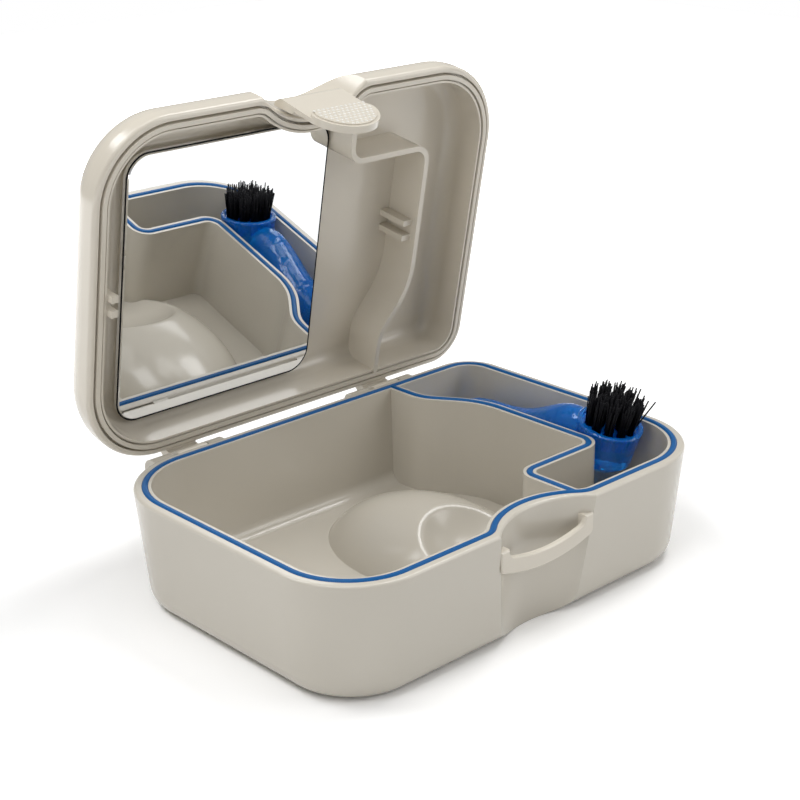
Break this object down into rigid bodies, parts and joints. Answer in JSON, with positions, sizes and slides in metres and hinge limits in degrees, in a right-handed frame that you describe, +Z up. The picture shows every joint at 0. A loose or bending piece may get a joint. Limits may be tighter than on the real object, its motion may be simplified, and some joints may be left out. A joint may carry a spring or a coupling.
{
  "type": "denture case",
  "caption": "Two-compartment denture travel case with a hinged lid holding a mirror, a rim seal, a front catch bar with a press latch, and a small brush lying in its side lane.",
  "frame": {"origin": "centre of the flat underside of the base", "axes": "+X to the right, +Y to the hinges at the rear, +Z up"},
  "size_m": [0.1046, 0.0861, 0.0965],
  "materials": {
    "case_plastic": "satin, warm grey beige",
    "lid_plastic": "satin, creamy beige",
    "seal": "smooth blue silicone",
    "pin_metal": "bright",
    "mirror": "polished",
    "brush_plastic": "glossy translucent royal blue",
    "bristles": "black nylon filament"
  },
  "bodies": {
    "base": {"base_case": "case_plastic", "rim_seal": "seal", "catch_bar": "lid_plastic", "hinge_pin_left": "pin_metal", "hinge_pin_right": "pin_metal"},
    "lid": {"lid_shell": "lid_plastic", "lid_mirror": "mirror"},
    "latch": {"latch_tongue": "lid_plastic"},
    "brush": {"brush_handle": "brush_plastic", "brush_tufts_outer": "bristles", "brush_tufts_inner": "bristles", "brush_tuft_centre": "bristles"}
  },
  "joints": [
    {"name": "lid_hinge", "type": "hinge", "parent": "base", "child": "lid", "pos_m": [0, 0.0377, 0.0221], "axis": [1, 0, 0], "range_deg": [-14, 79.3]},
    {"name": "latch_press", "type": "hinge", "parent": "lid", "child": "latch", "pos_m": [-0.0006, 0.03087, 0.09271], "axis": [1, 0, 0], "range_deg": [0, 1.5], "stiffness_Nm_per_rad": 0.2},
    {"name": "brush_lift", "type": "slide", "parent": "base", "child": "brush", "axis": [0, 0, 1], "range_m": [0, 0.036]}
  ]
}
